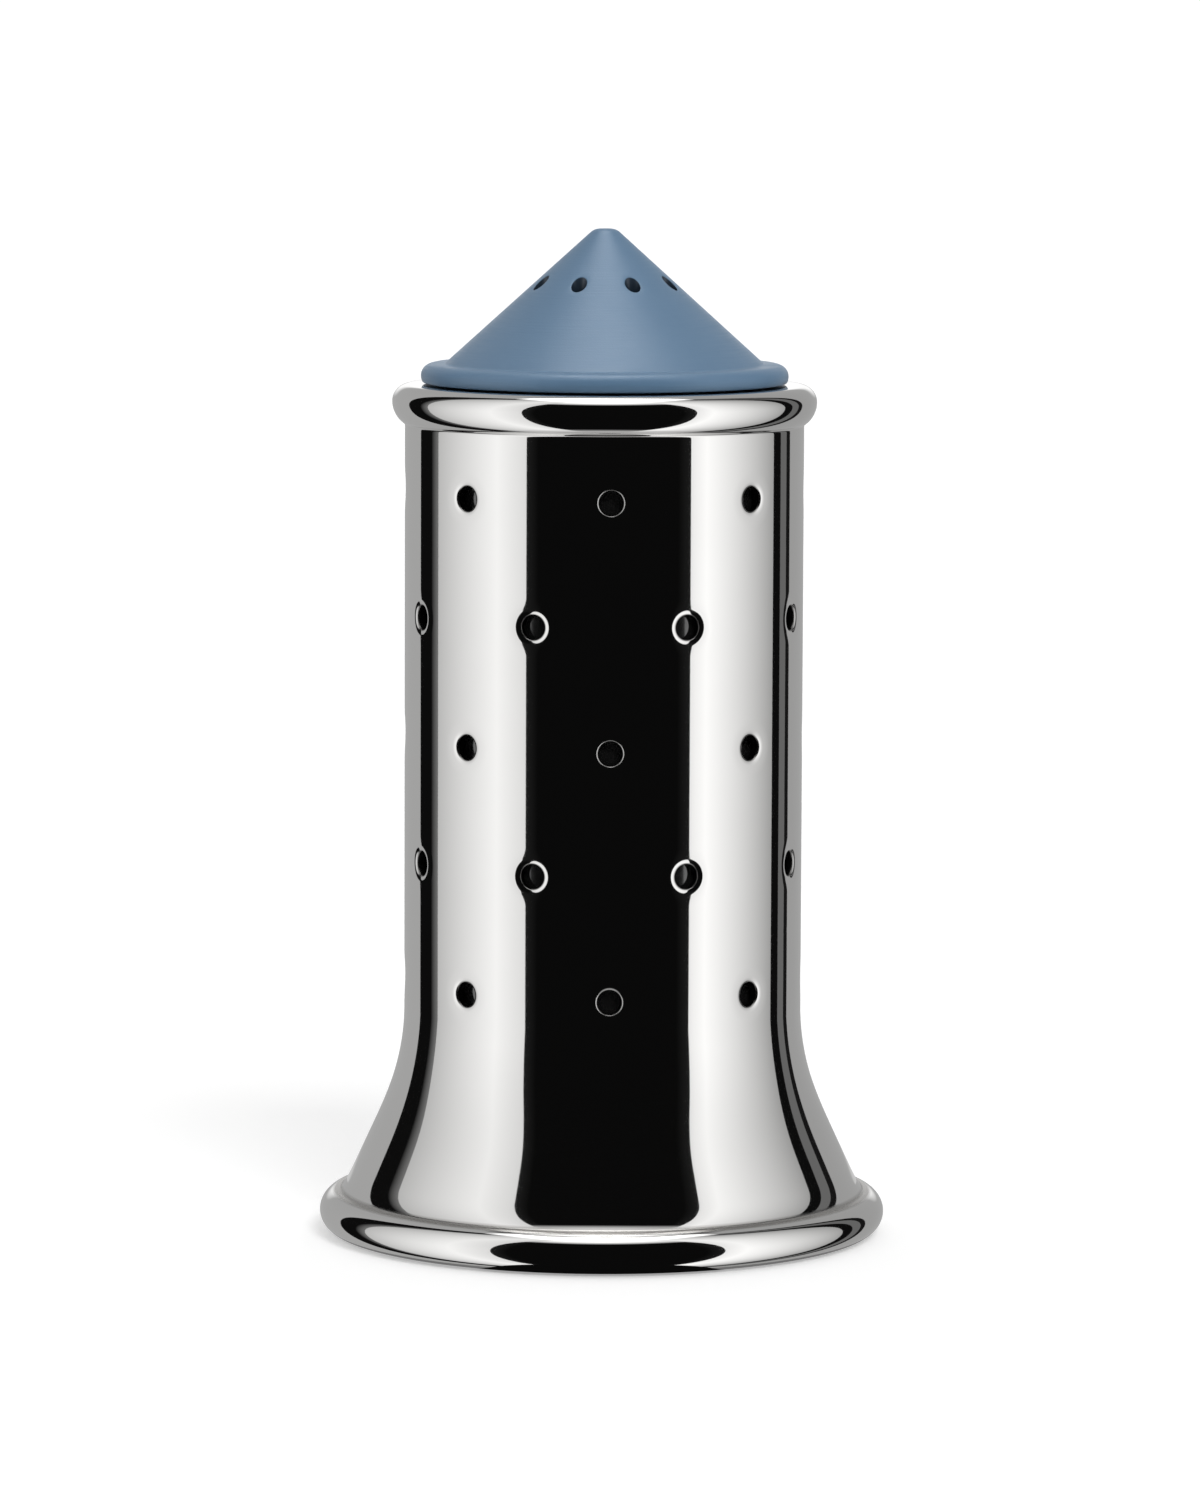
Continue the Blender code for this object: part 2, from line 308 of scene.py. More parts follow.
def finished(bm, name, material, twist=0.0):
    """Turns a bmesh into a smooth-shaded object with merged seams and its faces outwards."""
    bmesh.ops.remove_doubles(bm, verts=bm.verts, dist=MERGE_DISTANCE)
    bmesh.ops.recalc_face_normals(bm, faces=bm.faces)
    bmesh.ops.rotate(bm, verts=bm.verts, cent=(0, 0, 0), matrix=Matrix.Rotation(twist, 3, "Z"))
    mesh = mesh_from(bm, name)
    mesh.shade_smooth()
    mesh.set_sharp_from_angle(angle=SHARP_EDGE)
    mesh.materials.append(material)
    return put_in_scene(name, mesh)


def new_finish(name):
    """A new material, its node tree and its shader."""
    material = bpy.data.materials.new(name)
    material.use_nodes = True
    return material, material.node_tree, material.node_tree.nodes["Principled BSDF"]


def feed(tree, socket, source):
    """Gives a socket a number or a colour of three numbers, or links it to another socket."""
    if isinstance(source, tuple):
        socket.default_value = (*source, 1)
    elif isinstance(source, (int, float)):
        socket.default_value = source
    else:
        tree.links.new(source, socket)


def reckoned(tree, operation, first, second):
    """One step of arithmetic on two values, each a socket or a number."""
    step = tree.nodes.new("ShaderNodeMath")
    step.operation = operation
    feed(tree, step.inputs[0], first)
    feed(tree, step.inputs[1], second)
    return step.outputs["Value"]


def spread(tree, source, start, end, low=0.0, high=1.0):
    """A value that runs from low to high while its source runs from a start to an end."""
    span = tree.nodes.new("ShaderNodeMapRange")
    for name, limit in (("From Min", start), ("From Max", end), ("To Min", low), ("To Max", high)):
        span.inputs[name].default_value = limit
    tree.links.new(source, span.inputs["Value"])
    return span.outputs["Result"]


def tinted(tree, source, first, second):
    """A colour between two tints, each a socket or three numbers, by a value from 0 to 1."""
    mix = tree.nodes.new("ShaderNodeMix")
    mix.data_type = "RGBA"
    # Sockets 6 and 7 hold the two colours of such a mix, and output 2 its result.
    feed(tree, mix.inputs[0], source)
    feed(tree, mix.inputs[6], first)
    feed(tree, mix.inputs[7], second)
    return mix.outputs[2]


def stretched_place(tree, stretch):
    """The shaded point's place on its own piece, with each axis stretched."""
    place = tree.nodes.new("ShaderNodeTexCoord")
    mapping = tree.nodes.new("ShaderNodeMapping")
    mapping.inputs["Scale"].default_value = stretch
    tree.links.new(place.outputs["Object"], mapping.inputs["Vector"])
    return mapping.outputs["Vector"]


def grain(tree, size, stretch=(1, 1, 1), detail=3):
    """Noise on the piece's own coordinates, with grains of about the given size in metres."""
    noise = tree.nodes.new("ShaderNodeTexNoise")
    noise.inputs["Scale"].default_value = 1 / size
    noise.inputs["Detail"].default_value = detail
    tree.links.new(stretched_place(tree, stretch), noise.inputs["Vector"])
    return noise.outputs["Fac"]


def wandering(tree, noise, low, high):
    """A noise value, which mostly keeps to its middle, spread over a range."""
    return spread(tree, noise, *NOISE_MIDDLE, low, high)


def distance_out(tree, stretch=(1, 1, 0)):
    """The shaded point's distance from the upright axis, with each axis stretched."""
    length = tree.nodes.new("ShaderNodeVectorMath")
    length.operation = "LENGTH"
    tree.links.new(stretched_place(tree, stretch), length.inputs[0])
    return length.outputs["Value"]


def shaded_place(tree):
    """The shaded point's place on its own piece, as three sockets."""
    split = tree.nodes.new("ShaderNodeSeparateXYZ")
    tree.links.new(stretched_place(tree, (1, 1, 1)), split.inputs["Vector"])
    return split.outputs["X"], split.outputs["Y"], split.outputs["Z"]


def polished_steel(crease):
    """Mirror-polished stainless steel, rougher and with painted shade in the holes, inside and in the
    foot's crease.
    """
    material, tree, shader = new_finish("polished_steel")
    shader.inputs["Metallic"].default_value = 1
    radius = distance_out(tree)
    _, _, height = shaded_place(tree)
    bead_limits = (TOP_BEAD_HEIGHT - drop for drop in POLISHED_BEAD_DROPS)
    face_limits = (SLEEVE_RADIUS - depth for depth in POLISHED_DEPTHS)
    throat_shade_limits = (SLEEVE_RADIUS - depth for depth in THROAT_SHADE_DEPTHS)
    crease_shade_limits = (reach**2 for reach in CREASE_SHADE_REACHES)
    on_face = spread(tree, radius, *face_limits)
    polished = reckoned(tree, "MAXIMUM", on_face, spread(tree, height, *bead_limits))
    # Painted shade darkens the foot's crease, from a little above its middle downwards, and the crease is
    # rougher there.
    across = reckoned(tree, "SUBTRACT", radius, crease.x)
    above = reckoned(tree, "SUBTRACT", height, crease.y)
    below_lip = spread(tree, above, CREASE_SHADE_RISE, 0)
    across = reckoned(tree, "MULTIPLY", across, across)
    above = reckoned(tree, "MULTIPLY", above, above)
    near = spread(tree, reckoned(tree, "ADD", across, above), *crease_shade_limits)
    crease_shade = reckoned(tree, "MULTIPLY", near, below_lip)
    bright = tinted(tree, grain(tree, SMEAR_SIZE), *STEEL_TINTS)
    crease_shaded = tinted(tree, crease_shade, bright, CREASE_SHADE_TINT)
    # Painted shade: dark grey on the holes' rolled lips, near black in their throats and on the inner
    # face.
    hole_edge_shade = tinted(tree, spread(tree, radius, *throat_shade_limits), ROLL_SHADE_TINT, THROAT_SHADE_TINT)
    feed(tree, shader.inputs["Base Color"], tinted(tree, polished, hole_edge_shade, crease_shaded))
    haze = wandering(tree, grain(tree, STREAK_SIZE, STREAK_STRETCH, detail=4), *STEEL_ROUGHNESS)
    dulled = reckoned(tree, "MULTIPLY", reckoned(tree, "SUBTRACT", 1, polished), ROLL_ROUGHNESS)
    hazy = reckoned(tree, "ADD", dulled, reckoned(tree, "MULTIPLY", crease_shade, CREASE_ROUGHNESS))
    feed(tree, shader.inputs["Roughness"], reckoned(tree, "ADD", haze, hazy))
    return material


sleeve_mesh = bmesh.new()
top_line = top_bead_line()
top_inner_line = inner_line(top_line, SHEET_THICKNESS)
spin_line(sleeve_mesh, list(reversed(top_line)) + top_inner_line, SLEEVE_SEGMENTS)
skirt_line, foot_crease = foot_line()
skirt_inner_line = inner_line(skirt_line, SHEET_THICKNESS)
spin_line(sleeve_mesh, skirt_line + list(reversed(skirt_inner_line)), SLEEVE_SEGMENTS)
cell_angle = 2 * math.pi / HOLES_PER_ROW
cell_half_width = SLEEVE_RADIUS * cell_angle / 2
for row in range(HOLE_ROWS):
    row_height = TOP_ROW_HEIGHT - row * ROW_PITCH
    below = min(ROW_PITCH / 2, row_height - FLARE_START)
    cell_border = rectangle_border(cell_half_width, below, ROW_PITCH / 2, CELL_COLUMNS, CELL_ROWS)
    cell = punched_cell(cell_border, sleeve_hole_rings())
    for column in range(HOLES_PER_ROW):
        placed = len(sleeve_mesh.verts)
        sleeve_mesh.from_mesh(cell)
        sleeve_mesh.verts.ensure_lookup_table()
        for vert in sleeve_mesh.verts[placed:]:
            # The flat patch is rolled round the axis, every other row turned by half a step.
            angle = vert.co.x / SLEEVE_RADIUS + cell_angle * (column + 0.5 * (row % 2))
            radius = SLEEVE_RADIUS - vert.co.z
            vert.co = (radius * math.sin(angle), -radius * math.cos(angle), row_height + vert.co.y)
    bpy.data.meshes.remove(cell)
sleeve = finished(sleeve_mesh, "steel_sleeve", polished_steel(foot_crease), PATTERN_TWIST)
# On the plain tube between the holes the normals are set square to the axis, so that edges mirrored
# there run straight.
normals = [corner.vector.copy() for corner in sleeve.data.corner_normals]
tube_low = FLARE_START - PLAIN_TUBE_TOLERANCE
tube_high = CELL_TOP + PLAIN_TUBE_TOLERANCE
for loop in sleeve.data.loops:
    place = sleeve.data.vertices[loop.vertex_index].co
    girth = Vector((place.x, place.y, 0))
    plain = abs(girth.length - SLEEVE_RADIUS) < PLAIN_TUBE_TOLERANCE
    if plain and tube_low < place.z < tube_high:
        normals[loop.index] = girth.normalized()
sleeve.data.normals_split_custom_set(normals)
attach(sleeve, "shaker")
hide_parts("sleeve")


# The salt cup is moulded in dark glossy plastic and stands close behind the perforated steel. It is
# pushed in from below, is narrower where the base plate's collar holds it, and has an inner two-start
# thread in its mouth for the cap.

CUP_RADIUS = 0.0170
CUP_COLLAR_RADIUS = 0.0162
CUP_BORE = 0.0146
CUP_FLOOR = 0.0017
CUP_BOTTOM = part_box("salt_cup")[0].z
CUP_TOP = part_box("salt_cup")[1].z
CUP_COLLAR_GAP = 0.0010
CUP_STEP_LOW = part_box("base_plate")[1].z + CUP_COLLAR_GAP
CUP_STEP_RISE = 0.0012
CUP_CORNER = 0.0006
CUP_RIM_ROUND = 0.0003
CUP_SEGMENTS = 96

DARK_TINTS = (0.009, 0.009, 0.009), (0.012, 0.012, 0.012)
DARK_ROUGHNESS = (0.08, 0.12)
DARK_COAT = 1.0
DARK_SPECULAR = 1.0
MOTTLE_SIZE = 0.0015

THREAD_LEAD = 0.0060
THREAD_STARTS = 2
THREAD_HALF_WIDTH = 0.00045
THREAD_CREST_HALF_WIDTH = 0.00018
THREAD_SPAN = math.radians(250)
THREAD_STEPS = 72
THREAD_RUN_OUT = 0.10
THREAD_END_HEIGHT = 0.1
CUP_THREAD_HEIGHT = 0.00022
CUP_THREAD_START = 0.0721


def rounded(line, radii, steps=5):
    """Replaces corners of a line of points by arcs, with a radius for the number of each corner."""
    for corner in sorted(radii, reverse=True):
        radius = radii[corner]
        point = line[corner]
        back = (line[corner - 1] - point).normalized()
        ahead = (line[corner + 1] - point).normalized()
        half = back.angle(ahead) / 2
        centre = point + (back + ahead).normalized() * radius / math.sin(half)
        first = (point + back * radius / math.tan(half)) - centre
        last = (point + ahead * radius / math.tan(half)) - centre
        bend = [centre + first.slerp(last, step / steps) * radius for step in range(steps + 1)]
        line = line[:corner] + bend + line[corner + 1 :]
    return line


def thread(name, root, crest, start_height, material):
    """The ridges of a right-handed thread, which run out at both ends.

    Each ridge is swept up a helix from a small section.
    """
    rise = THREAD_LEAD * THREAD_SPAN / (2 * math.pi)
    bm = bmesh.new()
    for start in range(THREAD_STARTS):
        section = [
            (root, -THREAD_HALF_WIDTH),
            (crest, -THREAD_CREST_HALF_WIDTH),
            (crest, THREAD_CREST_HALF_WIDTH),
            (root, THREAD_HALF_WIDTH),
        ]
        points = [bm.verts.new((0, -radius, start_height + height)) for radius, height in section]
        edges = [bm.edges.new((points[index - 1], point)) for index, point in enumerate(points)]
        turn = Matrix.Rotation(2 * math.pi * start / THREAD_STARTS, 3, "Z")
        bmesh.ops.rotate(bm, verts=points, cent=(0, 0, 0), matrix=turn)
        bmesh.ops.spin(
            bm,
            geom=points + edges,
            cent=(0, 0, 0),
            axis=(0, 0, 1),
            dvec=(0, 0, rise / THREAD_STEPS),
            angle=THREAD_SPAN,
            steps=THREAD_STEPS,
        )
    ends = [edge for edge in bm.edges if edge.is_boundary]
    bmesh.ops.holes_fill(bm, edges=ends, sides=4)
    for vert in bm.verts:
        climbed = (vert.co.z - start_height) / rise
        from_end = min(climbed, 1 - climbed) - THREAD_CREST_HALF_WIDTH / rise
        height = min(1, max(THREAD_END_HEIGHT, from_end / THREAD_RUN_OUT))
        radius = vert.co.xy.length
        vert.co.xy = vert.co.xy * (root + (radius - root) * height) / radius
    return finished(bm, name, material)


def moulded(name, tints, roughness):
    """A moulded finish: a faint mottle in the colour, and a gloss that wanders a little."""
    material, tree, shader = new_finish(name)
    mottle = grain(tree, MOTTLE_SIZE)
    feed(tree, shader.inputs["Base Color"], tinted(tree, mottle, *tints))
    feed(tree, shader.inputs["Roughness"], wandering(tree, mottle, *roughness))
    return material, shader


dark_plastic, dark_shader = moulded("dark_plastic", DARK_TINTS, DARK_ROUGHNESS)
dark_shader.inputs["Coat Weight"].default_value = DARK_COAT
dark_shader.inputs["Specular IOR Level"].default_value = DARK_SPECULAR

cup_line = [
    Vector((0, CUP_BOTTOM)),
    Vector((CUP_COLLAR_RADIUS, CUP_BOTTOM)),
    Vector((CUP_COLLAR_RADIUS, CUP_STEP_LOW)),
    Vector((CUP_RADIUS, CUP_STEP_LOW + CUP_STEP_RISE)),
    Vector((CUP_RADIUS, CUP_TOP)),
    Vector((CUP_BORE, CUP_TOP)),
    Vector((CUP_BORE, CUP_BOTTOM + CUP_FLOOR)),
    Vector((0, CUP_BOTTOM + CUP_FLOOR)),
]
cup_radii = {corner: CUP_CORNER for corner in (1, 2, 3, 6)}
cup_radii.update({corner: CUP_RIM_ROUND for corner in (4, 5)})
cup_mesh = bmesh.new()
spin_line(cup_mesh, rounded(cup_line, cup_radii), CUP_SEGMENTS)
cup = finished(cup_mesh, "salt_cup_body", dark_plastic)
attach(cup, "shaker")
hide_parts("salt_cup")
cup_thread_root = CUP_BORE + CUP_THREAD_HEIGHT / 2
cup_thread_crest = CUP_BORE - CUP_THREAD_HEIGHT
cup_thread = thread("cup_thread", cup_thread_root, cup_thread_crest, CUP_THREAD_START, dark_plastic)
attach(cup_thread, "shaker")


# The base plate is a moulded disc of the same dark plastic. It snaps over the sleeve's foot flange, and
# a collar on its upper side holds the cup. A shallow panel in its underside keeps it off the table.

PLATE_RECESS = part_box("base_plate")[0].z
PLATE_TOP = 0.0028
PLATE_PANEL_DEPTH = 0.0006
PLATE_PANEL_RADIUS = 0.0178
PLATE_LAND = 0.0211
SNAP_RADIUS = 0.0220
SNAP_BOTTOM = 0.0011
SNAP_TOP = 0.0019
COLLAR_BORE = 0.0165
COLLAR_RADIUS = 0.0178
COLLAR_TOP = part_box("base_plate")[1].z
PLATE_EDGE_ROUND = 0.00025

panel_top = PLATE_RECESS + PLATE_PANEL_DEPTH
plate_line = [
    Vector((0, panel_top)),
    Vector((PLATE_PANEL_RADIUS - PLATE_PANEL_DEPTH, panel_top)),
    Vector((PLATE_PANEL_RADIUS, PLATE_RECESS)),
    Vector((PLATE_LAND, PLATE_RECESS)),
    Vector((PLATE_LAND, SNAP_BOTTOM)),
    Vector((SNAP_RADIUS, SNAP_BOTTOM)),
    Vector((SNAP_RADIUS, SNAP_TOP)),
    Vector((PLATE_LAND, PLATE_TOP)),
    Vector((COLLAR_RADIUS, PLATE_TOP)),
    Vector((COLLAR_RADIUS, COLLAR_TOP)),
    Vector((COLLAR_BORE, COLLAR_TOP)),
    Vector((COLLAR_BORE, PLATE_TOP)),
    Vector((0, PLATE_TOP)),
]
plate_radii = {corner: PLATE_EDGE_ROUND for corner in (1, 2, 3, 9, 10)}
plate_mesh = bmesh.new()
spin_line(plate_mesh, rounded(plate_line, plate_radii, steps=4), CUP_SEGMENTS)
plate = finished(plate_mesh, "snap_base", dark_plastic)
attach(plate, "shaker")
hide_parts("base_plate")


# The gasket is a flat ring punched from soft black rubber. It sits on the cap's plug under the brim and
# is squeezed on the cup's rim when the cap is screwed down.

GASKET_BORE = 0.0145
GASKET_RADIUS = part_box("cap_gasket")[1].x
GASKET_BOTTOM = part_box("cap_gasket")[0].z
GASKET_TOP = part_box("cap_gasket")[1].z
GASKET_EDGE_ROUND = 0.00015
RUBBER_TINTS = (0.030, 0.030, 0.031), (0.045, 0.045, 0.046)
RUBBER_ROUGHNESS = (0.6, 0.75)

gasket_middle = (GASKET_RADIUS + GASKET_BORE) / 2
gasket_line = [
    Vector((gasket_middle, GASKET_BOTTOM)),
    Vector((GASKET_RADIUS, GASKET_BOTTOM)),
    Vector((GASKET_RADIUS, GASKET_TOP)),
    Vector((GASKET_BORE, GASKET_TOP)),
    Vector((GASKET_BORE, GASKET_BOTTOM)),
    Vector((gasket_middle, GASKET_BOTTOM)),
]
gasket_radii = {corner: GASKET_EDGE_ROUND for corner in (1, 2, 3, 4)}
gasket_mesh = bmesh.new()
spin_line(gasket_mesh, rounded(gasket_line, gasket_radii, steps=3), CUP_SEGMENTS)
seal_rubber, _ = moulded("seal_rubber", RUBBER_TINTS, RUBBER_ROUGHNESS)
gasket = finished(gasket_mesh, "rubber_gasket", seal_rubber)
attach(gasket, "gasket")
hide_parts("cap_gasket")


# The cap is moulded in blue polyamide with a satin skin: a cone with a rounded tip and a brim that laps
# the sleeve's bead, a hollow threaded plug below it, and a ring of sprinkle holes cored straight down.

CAP_TOP = cad_high.z
CAP_WALL = 0.0016
CONE_HALF_ANGLE = math.radians(47.84)
CONE_STEPS = 6
TIP_RADIUS = 0.00098
TIP_ROUND = 0.0013
TIP_STEPS = 10
BRIM_RADIUS = 0.01675
BRIM_TOP = 0.07968
BRIM_BOTTOM = 0.07800
BRIM_UPPER_ROUND = 0.00105
BRIM_UPPER_STEPS = 10
BRIM_LOWER_TAPER = 0.00025
BRIM_LOWER_STEPS = 8
BRIM_FILLET = 0.0006
PLUG_RADIUS = 0.0142
PLUG_BORE = 0.0128
PLUG_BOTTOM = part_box("cap")[0].z
PLUG_EDGE_ROUND = 0.0003
CAP_THREAD_HEIGHT = 0.00028
CAP_THREAD_START = CUP_THREAD_START + THREAD_LEAD / THREAD_STARTS / 2

SPRINKLE_HOLES = 8
SPRINKLE_RADIUS = 0.00070
SPRINKLE_CIRCLE = 0.0063
SPRINKLE_TWIST = math.radians(0.7)
SPRINKLE_EDGE_ROUND = 0.00010
SPRINKLE_EDGE_STEPS = 3
SPRINKLE_SKIN_STEPS = 4
SPRINKLE_BAND = (0.0046, 0.0084)
SPRINKLE_COLUMNS = 14
SPRINKLE_ROWS = 8
CAP_SEGMENTS = SPRINKLE_HOLES * SPRINKLE_COLUMNS

BLUE_TINTS = (0.111, 0.209, 0.333), (0.121, 0.222, 0.348)
BLUE_ROUGHNESS = (0.32, 0.41)
BLUE_MOTTLE_SIZE = 0.0012
PORE_SIZE = 0.00012
TURNING_SIZE = 0.004
TURNING_STRETCH = (1, 1, 30)
RELIEF_STRENGTH = 0.35
RELIEF_DEPTH = 0.00003
# Painted shade in the sprinkle bores.
BORE_SHADE_TINT = (0.020, 0.034, 0.054)
BORE_SHADE_DEPTHS = (0.00002, 0.00008)
BORE_SHADE_MARGIN = 0.0002

cone_slope = math.tan(CONE_HALF_ANGLE)
cone_apex = CAP_TOP + TIP_RADIUS / cone_slope
cone_drop = CAP_WALL / math.sin(CONE_HALF_ANGLE)


def on_cone(radius, depth=0.0):
    """A point (radius, height) on the cone, or straight below it inside the wall."""
    return Vector((radius, cone_apex - radius / cone_slope - depth))


def sector_border(inner, outer, half_angle, columns, rows):
    """Points round a sector of a ring in plan, counted from its hole, anticlockwise."""
    border = []
    for point in rectangle_border(half_angle, 0, 1, columns, rows):
        radius = outer + (inner - outer) * point.y
        border.append(Vector((radius * math.sin(point.x), SPRINKLE_CIRCLE - radius * math.cos(point.x))))
    return border


def sprinkle_hole_rings():
    """From the cone's skin over a barely broken edge, down the bore and back along the inner skin."""
    rim = SPRINKLE_RADIUS + SPRINKLE_EDGE_ROUND
    rings = [(step / SPRINKLE_SKIN_STEPS, rim, 0) for step in range(SPRINKLE_SKIN_STEPS + 1)]
    for step in range(1, SPRINKLE_EDGE_STEPS + 1):
        turn = math.pi / 2 * step / SPRINKLE_EDGE_STEPS
        depth = SPRINKLE_EDGE_ROUND * (1 - math.cos(turn))
        rings.append((1, rim - SPRINKLE_EDGE_ROUND * math.sin(turn), depth))
    rings += [(1, SPRINKLE_RADIUS, cone_drop / 2), (1, SPRINKLE_RADIUS, cone_drop), (0, rim, cone_drop)]
    return rings


def blue_polyamide():
    """Satin blue plastic with a fine spark-eroded grain, the faint rings of a turned mould and painted
    shade in its bores.
    """
    material, tree, shader = new_finish("blue_polyamide")
    skin = tinted(tree, grain(tree, BLUE_MOTTLE_SIZE), *BLUE_TINTS)
    radius = distance_out(tree)
    _, _, height = shaded_place(tree)
    # Painted shade darkens the bores: inside their band the colour sinks to dark blue just below the skin.
    skin_height = reckoned(tree, "SUBTRACT", cone_apex, reckoned(tree, "DIVIDE", radius, cone_slope))
    below_skin = spread(tree, reckoned(tree, "SUBTRACT", skin_height, height), *BORE_SHADE_DEPTHS)
    inner, outer = SPRINKLE_BAND
    beyond_tip = spread(tree, radius, inner - BORE_SHADE_MARGIN, inner)
    within_band = reckoned(tree, "MULTIPLY", spread(tree, radius, outer, outer - BORE_SHADE_MARGIN), beyond_tip)
    bore_shade = reckoned(tree, "MULTIPLY", below_skin, within_band)
    feed(tree, shader.inputs["Base Color"], tinted(tree, bore_shade, skin, BORE_SHADE_TINT))
    turning = grain(tree, TURNING_SIZE, TURNING_STRETCH)
    feed(tree, shader.inputs["Roughness"], wandering(tree, turning, *BLUE_ROUGHNESS))
    bump = tree.nodes.new("ShaderNodeBump")
    bump.inputs["Strength"].default_value = RELIEF_STRENGTH
    bump.inputs["Distance"].default_value = RELIEF_DEPTH
    feed(tree, bump.inputs["Height"], reckoned(tree, "ADD", grain(tree, PORE_SIZE, detail=2), turning))
    feed(tree, shader.inputs["Normal"], bump.outputs["Normal"])
    return material


tip_turn = math.pi / 2 - CONE_HALF_ANGLE
tip_centre = Vector((TIP_RADIUS - TIP_ROUND * math.tan(tip_turn / 2), CAP_TOP - TIP_ROUND))
tip_line = [
    Vector((0, CAP_TOP)),
    *arc(tip_centre, TIP_ROUND, 90, math.degrees(CONE_HALF_ANGLE), TIP_STEPS),
]
tip_edge = tip_line[-1].x
for step in range(1, CONE_STEPS + 1):
    tip_line.append(on_cone(tip_edge + (SPRINKLE_BAND[0] - tip_edge) * step / CONE_STEPS))
ceiling_edge = on_cone(TIP_ROUND, cone_drop)
tip_ceiling = [on_cone(SPRINKLE_BAND[0], cone_drop), ceiling_edge, Vector((0, ceiling_edge.y))]

brim_round = Vector((BRIM_RADIUS - BRIM_UPPER_ROUND, BRIM_TOP - BRIM_UPPER_ROUND))
brim_taper = Vector((BRIM_RADIUS - BRIM_LOWER_TAPER, brim_round.y))
brim_foot = [
    on_cone(SPRINKLE_BAND[1]),
    on_cone(cone_slope * (cone_apex - BRIM_TOP)),
    Vector((brim_round.x, BRIM_TOP)),
]
lower_line = [
    *rounded(brim_foot, {1: BRIM_FILLET})[:-1],
    *arc(brim_round, BRIM_UPPER_ROUND, 90, 0, BRIM_UPPER_STEPS),
    *arc(brim_taper, BRIM_LOWER_TAPER, 0, -90, BRIM_LOWER_STEPS, brim_taper.y - BRIM_BOTTOM)[1:],
    Vector((PLUG_RADIUS, BRIM_BOTTOM)),
    Vector((PLUG_RADIUS, PLUG_BOTTOM)),
    Vector((PLUG_BORE, PLUG_BOTTOM)),
    on_cone(PLUG_BORE, cone_drop),
    on_cone(SPRINKLE_BAND[1], cone_drop),
]
plug_radii = {len(lower_line) - from_end: PLUG_EDGE_ROUND for from_end in (3, 4)}

cap_mesh = bmesh.new()
for line in (tip_line, tip_ceiling, rounded(lower_line, plug_radii)):
    spin_line(cap_mesh, line, CAP_SEGMENTS)
sector_angle = 2 * math.pi / SPRINKLE_HOLES
sprinkle_border = sector_border(*SPRINKLE_BAND, sector_angle / 2, SPRINKLE_COLUMNS, SPRINKLE_ROWS)
sector = punched_cell(sprinkle_border, sprinkle_hole_rings())
for index in range(SPRINKLE_HOLES):
    placed = len(cap_mesh.verts)
    cap_mesh.from_mesh(sector)
    cap_mesh.verts.ensure_lookup_table()
    turn = Matrix.Rotation(sector_angle * (index + 0.5), 3, "Z")
    for vert in cap_mesh.verts[placed:]:
        # The flat patch is lifted on to the cone, so its hole stays upright.
        plan = Vector((vert.co.x, vert.co.y - SPRINKLE_CIRCLE))
        vert.co = turn @ Vector((plan.x, plan.y, on_cone(plan.length, vert.co.z).y))
bpy.data.meshes.remove(sector)
blue_plastic = blue_polyamide()
cap = finished(cap_mesh, "conical_cap", blue_plastic, SPRINKLE_TWIST)
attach(cap, "cap")
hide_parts("cap")
cap_thread_root = PLUG_RADIUS - CAP_THREAD_HEIGHT / 2
cap_thread_crest = PLUG_RADIUS + CAP_THREAD_HEIGHT
cap_thread = thread("cap_thread", cap_thread_root, cap_thread_crest, CAP_THREAD_START, blue_plastic)
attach(cap_thread, "cap")


# The studio is a ring of cards that only the polished steel and the plastic's gloss see: a black flag
# before the shaker, a white box at each side, dark strips behind them and grey at the back. Ovals that
# fade towards the rim hang overhead and behind, and small ones at the foot stand for the table's light
# and, as painted shade, for the table's dark under and before the foot.

CARD_DISTANCE = 3.0
CARD_STEPS = 36
CARD_FACET = 3
CROWN_START = math.radians(57)
CROWN_FULL = math.radians(70)
CROWN_CORNER = 0.012
CROWN_STRENGTH = 1.3
BOX_HIGH_SHARE = 0.88
OVAL_SEGMENTS = 96


def surface(tree, shader):
    """Makes a shader's output the surface of its material."""
    tree.links.new(shader, tree.nodes["Material Output"].inputs["Surface"])


def glow(tree, strength):
    """A plain white glow, its strength a number or a socket."""
    lit = tree.nodes.new("ShaderNodeEmission")
    feed(tree, lit.inputs["Strength"], strength)
    return lit.outputs["Emission"]


def mixed(tree, share, first, second):
    """A shader between two others, by a share from 0 to 1."""
    mix = tree.nodes.new("ShaderNodeMixShader")
    for socket, source in zip(mix.inputs, (share, first, second)):
        tree.links.new(source, socket)
    return mix.outputs["Shader"]


def clear(tree):
    """A shader that lets everything through."""
    return tree.nodes.new("ShaderNodeBsdfTransparent").outputs["BSDF"]


def from_behind(tree):
    """1 where a face is seen from behind, and else 0."""
    return tree.nodes.new("ShaderNodeNewGeometry").outputs["Backfacing"]


def reflected_only(mesh, name, material):
    """A stage object that only reflections see."""
    mesh.materials.append(material)
    card = put_in_scene(name, mesh)
    card.visible_camera = False
    card.visible_diffuse = False
    card.visible_shadow = False
    return card


